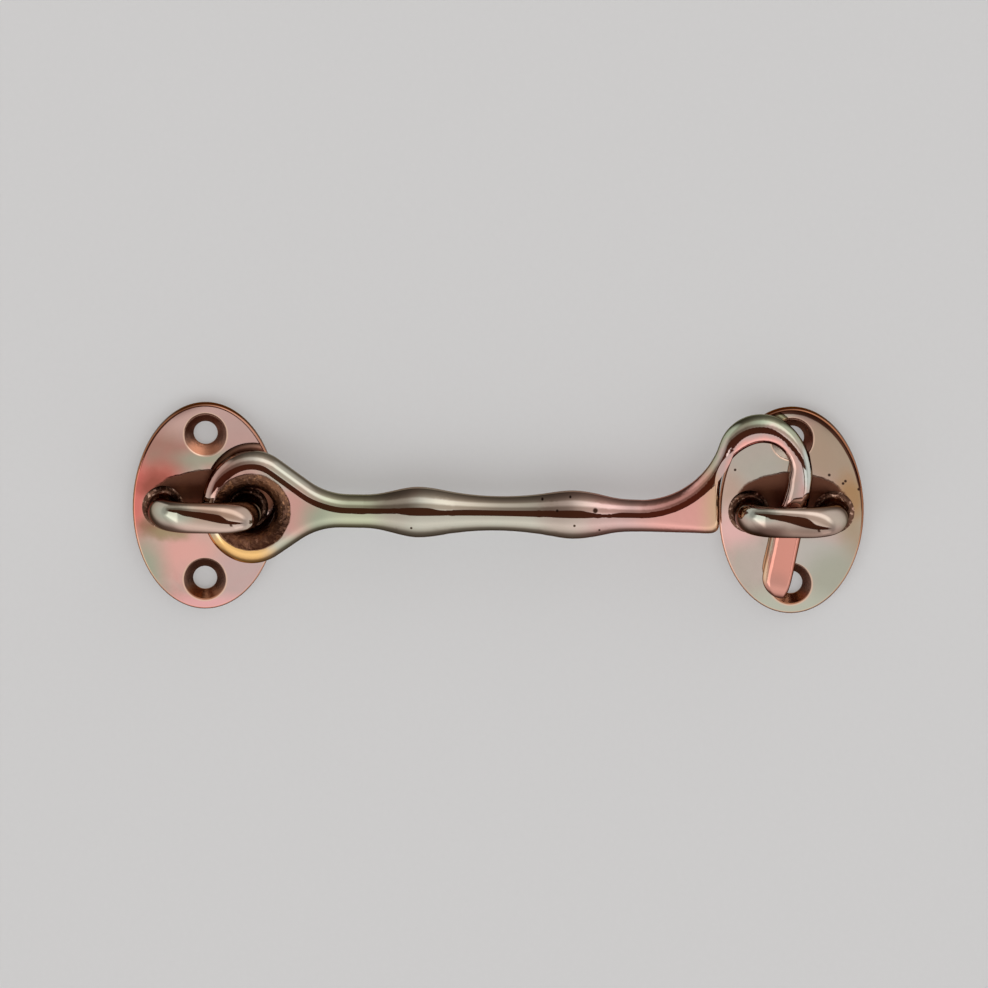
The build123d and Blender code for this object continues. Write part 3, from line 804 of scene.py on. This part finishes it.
def make_wall():
    """The pale wall behind the hook, which can't be seen from its back."""
    bpy.ops.object.select_all(action="DESELECT")
    middle = (PICTURE_CENTRE.x, WALL_GAP, 0)
    bpy.ops.mesh.primitive_plane_add(size=WALL_SIZE, location=middle, rotation=(pi / 2, 0, 0))
    wall = bpy.context.object
    wall.name = "wall"
    bpy.ops.object.transform_apply(location=True, rotation=True, scale=True)
    material = bpy.data.materials.new("pale_wall")
    material.use_nodes = True
    tree = material.node_tree
    shader = tree.nodes["Principled BSDF"]
    fibre = noise(tree, add(tree, "TexCoord").outputs["Object"], Scale=FIBRE_SCALE, Detail=4.0)
    low = tuple(channel * WALL_FIBRE_SHADE for channel in WALL_COLOUR)
    colour = blend(tree, fibre, (*low, 1), (*WALL_COLOUR, 1))
    feed(tree, shader, Base_Color=colour, Roughness=WALL_ROUGHNESS, Specular_IOR_Level=WALL_SHEEN)
    glow = add(tree, "Emission")
    feed(tree, glow, Color=(*WALL_GLOW, 1), Strength=1.0)
    seen = arithmetic(tree, "MULTIPLY", add(tree, "LightPath").outputs["Is Camera Ray"], WALL_GLOW_SHARE)
    lit = add(tree, "MixShader")
    feed(tree, lit, n0=seen, n1=shader.outputs[0], n2=glow.outputs[0])
    clear = add(tree, "BsdfTransparent")
    choice = add(tree, "MixShader")
    side = add(tree, "NewGeometry").outputs["Backfacing"]
    feed(tree, choice, n0=side, n1=lit.outputs[0], n2=clear.outputs[0])
    tree.links.new(choice.outputs[0], tree.nodes["Material Output"].inputs[0])
    wall.data.materials.append(material)
    wall.visible_glossy = False


# The light tent: its brightness at each climb in degrees, 0 being level on the camera's side and 90 upright
LOWER_BANDS = [
    (-150, 0.20), (-122, 0.20), (-108, 0.22), (-96, 0.36), (-80, 0.84),
    (-64, 1.14), (-46, 1.28), (-24, 1.05), (-8.5, 0.97),
]
UPPER_BANDS = [
    (9, 0.90), (31, 0.45), (47, 0.47), (60, 1.0), (76, 0.98),
    (88, 0.43), (102, 0.26), (118, 0.17), (150, 0.12),
]
# The share of the lower and of the upper light that comes from the left, at -1, across to the right, at 1
LOWER_SHARES = [
    (-1.0, 0.5), (-0.92, 0.6), (-0.86, 1.7), (-0.58, 1.8), (-0.50, 1.0),
    (0.58, 1.0), (0.64, 1.2), (0.92, 1.1), (1.0, 0.6),
]
UPPER_SHARES = [(-1.0, 0.6), (-0.35, 0.6), (0.0, 1.0), (0.32, 1.8), (1.0, 1.8)]
# The climbs over which the shares of the lower light set in
LOWER_SHARES_START = (-62.0, -48.0)
# How much less green and blue a dim light has
DIM_WARMTH = 0.18
DIM_WARMTH_BLUE = 1.6 * DIM_WARMTH
# The dark slot between the lower and the upper light, in degrees of climb, and how its edges change sideways
SLOT_START = -6.3
SLOT_START_LEFT = 4.0
SLOT_END = 30.5
SLOT_END_RIGHT = 14.0
SLOT_LIFTS = (0.28, 0.62)
SLOT_NARROWS = (0.16, 0.52)
SLOT_FOOT = 0.6
SLOT_EDGE = 1.5
SLOT_SHADE = (0.10, 0.038, 0.022, 1)
# A dim gap in the lower light, to the right of the camera
GAP_LEFT = (0.47, 0.50)
GAP_RIGHT = (0.58, 0.62)
GAP_FOOT = (-27.0, -20.0)
GAP_SHADE = (0.18, 0.12, 0.10, 1)
# The far left and right of the tent
SIDE_ACROSS = (0.84, 0.98)
SIDE_LIGHT = (0.65, 0.65, 0.65, 1)
# Bright light from past both ends of the hook, behind the face of the wall
PAST_ACROSS = (0.50, 0.75)
PAST_DEPTH = (-0.25, 0.05)
PAST_SHARE = 0.9
PAST_LIGHT = (1, 1, 1, 1)
# The light behind the wall, and the plain grey that the camera sees
BACK_DEPTH = (0.82, 0.92)
BACK_LIGHT = (0.85, 0.85, 0.85, 1)
CAMERA_GREY = (0.58, 0.58, 0.575, 1)
HALF_TURN = 180.0


def light_row(tree, value, reach, stops):
    """The light of a row of lamps, each at its own value between minus and plus the reach."""
    share = add(tree, "MapRange")
    feed(tree, share, Value=value, From_Min=-reach, From_Max=reach)
    row = add(tree, "ValToRGB")
    feed(tree, row, Fac=share.outputs[0])
    lamps = []
    for at, level in stops:
        dim = 1 - min(level, 1)
        colour = (level, level * (1 - DIM_WARMTH * dim), level * (1 - DIM_WARMTH_BLUE * dim))
        lamps.append(((at + reach) / (2 * reach), colour))
    fill_ramp(row.color_ramp, lamps)
    return row.outputs[0]


def lower_light(tree, climb, across):
    """The light below the slot, with its dim gap."""
    even = light_row(tree, climb, HALF_TURN, LOWER_BANDS)
    shared = blend(tree, 1.0, even, light_row(tree, across, 1.0, LOWER_SHARES), "MULTIPLY")
    light = blend(tree, soft_step(tree, climb, *LOWER_SHARES_START), even, shared)
    gap = overlap(tree, soft_step(tree, across, *GAP_LEFT), soft_step(tree, climb, *GAP_FOOT))
    gap = arithmetic(tree, "SUBTRACT", gap, soft_step(tree, across, *GAP_RIGHT))
    return blend(tree, arithmetic(tree, "MAXIMUM", gap, 0.0), light, GAP_SHADE)


def upper_light(tree, climb, across):
    """The light above the slot."""
    even = light_row(tree, climb, HALF_TURN, UPPER_BANDS)
    return blend(tree, 1.0, even, light_row(tree, across, 1.0, UPPER_SHARES), "MULTIPLY")


def make_tent():
    """The world: a soft light tent, seen by the camera as plain grey."""
    world = bpy.data.worlds.new("light_tent")
    bpy.context.scene.world = world
    world.use_nodes = True
    tree = world.node_tree
    parts = add(tree, "SeparateXYZ")
    feed(tree, parts, Vector=add(tree, "TexCoord").outputs["Generated"])
    across, depth, rise = parts.outputs
    toward = arithmetic(tree, "MULTIPLY", depth, -1.0)
    climb = arithmetic(tree, "ARCTAN2", rise, toward)
    climb = arithmetic(tree, "MULTIPLY", climb, HALF_TURN / pi)

    leftward = arithmetic(tree, "MULTIPLY", across, -1.0)
    lifted = soft_step(tree, leftward, *SLOT_LIFTS)
    slot_start = arithmetic(tree, "MULTIPLY_ADD", lifted, SLOT_START_LEFT - SLOT_START, SLOT_START)
    entered = arithmetic(tree, "SUBTRACT", climb, slot_start)
    light = lower_light(tree, climb, across)
    light = blend(tree, soft_step(tree, entered, 0.0, SLOT_FOOT), light, SLOT_SHADE)
    narrow = soft_step(tree, across, *SLOT_NARROWS)
    slot_end = arithmetic(tree, "MULTIPLY_ADD", narrow, SLOT_END_RIGHT - SLOT_END, SLOT_END)
    left_behind = arithmetic(tree, "SUBTRACT", climb, slot_end)
    light = blend(tree, soft_step(tree, left_behind, 0.0, SLOT_EDGE), light, upper_light(tree, climb, across))

    aside = arithmetic(tree, "ABSOLUTE", across)
    light = blend(tree, soft_step(tree, aside, *SIDE_ACROSS), light, SIDE_LIGHT)
    past = arithmetic(tree, "MULTIPLY", soft_step(tree, aside, *PAST_ACROSS), PAST_SHARE)
    past = overlap(tree, past, soft_step(tree, depth, *PAST_DEPTH))
    light = blend(tree, past, light, PAST_LIGHT)
    light = blend(tree, soft_step(tree, depth, *BACK_DEPTH), light, BACK_LIGHT)
    light = blend(tree, add(tree, "LightPath").outputs["Is Camera Ray"], light, CAMERA_GREY)
    feed(tree, tree.nodes["Background"], Color=light, Strength=1.0)


def make_camera():
    """The photograph's camera, far off and a little above the wall's normal."""
    data = bpy.data.cameras.new("photo_camera")
    camera = bpy.data.objects.new("photo_camera", data)
    bpy.context.scene.collection.objects.link(camera)
    back = Vector((0, -cos(CAMERA_ELEVATION), sin(CAMERA_ELEVATION)))
    camera.location = PICTURE_CENTRE + back * CAMERA_DISTANCE
    camera.rotation_mode = "QUATERNION"
    roll = Quaternion(back, CAMERA_ROLL)
    camera.rotation_quaternion = roll @ (-back).to_track_quat("-Z", "Y")
    data.sensor_width = CAMERA_SENSOR
    data.lens = CAMERA_SENSOR * CAMERA_DISTANCE * PIXELS_PER_METRE / PHOTO_PIXELS
    data.clip_end = 4 * CAMERA_DISTANCE
    bpy.context.scene.camera = camera


make_wall()
make_tent()
make_camera()
bpy.context.scene.view_settings.view_transform = "Standard"
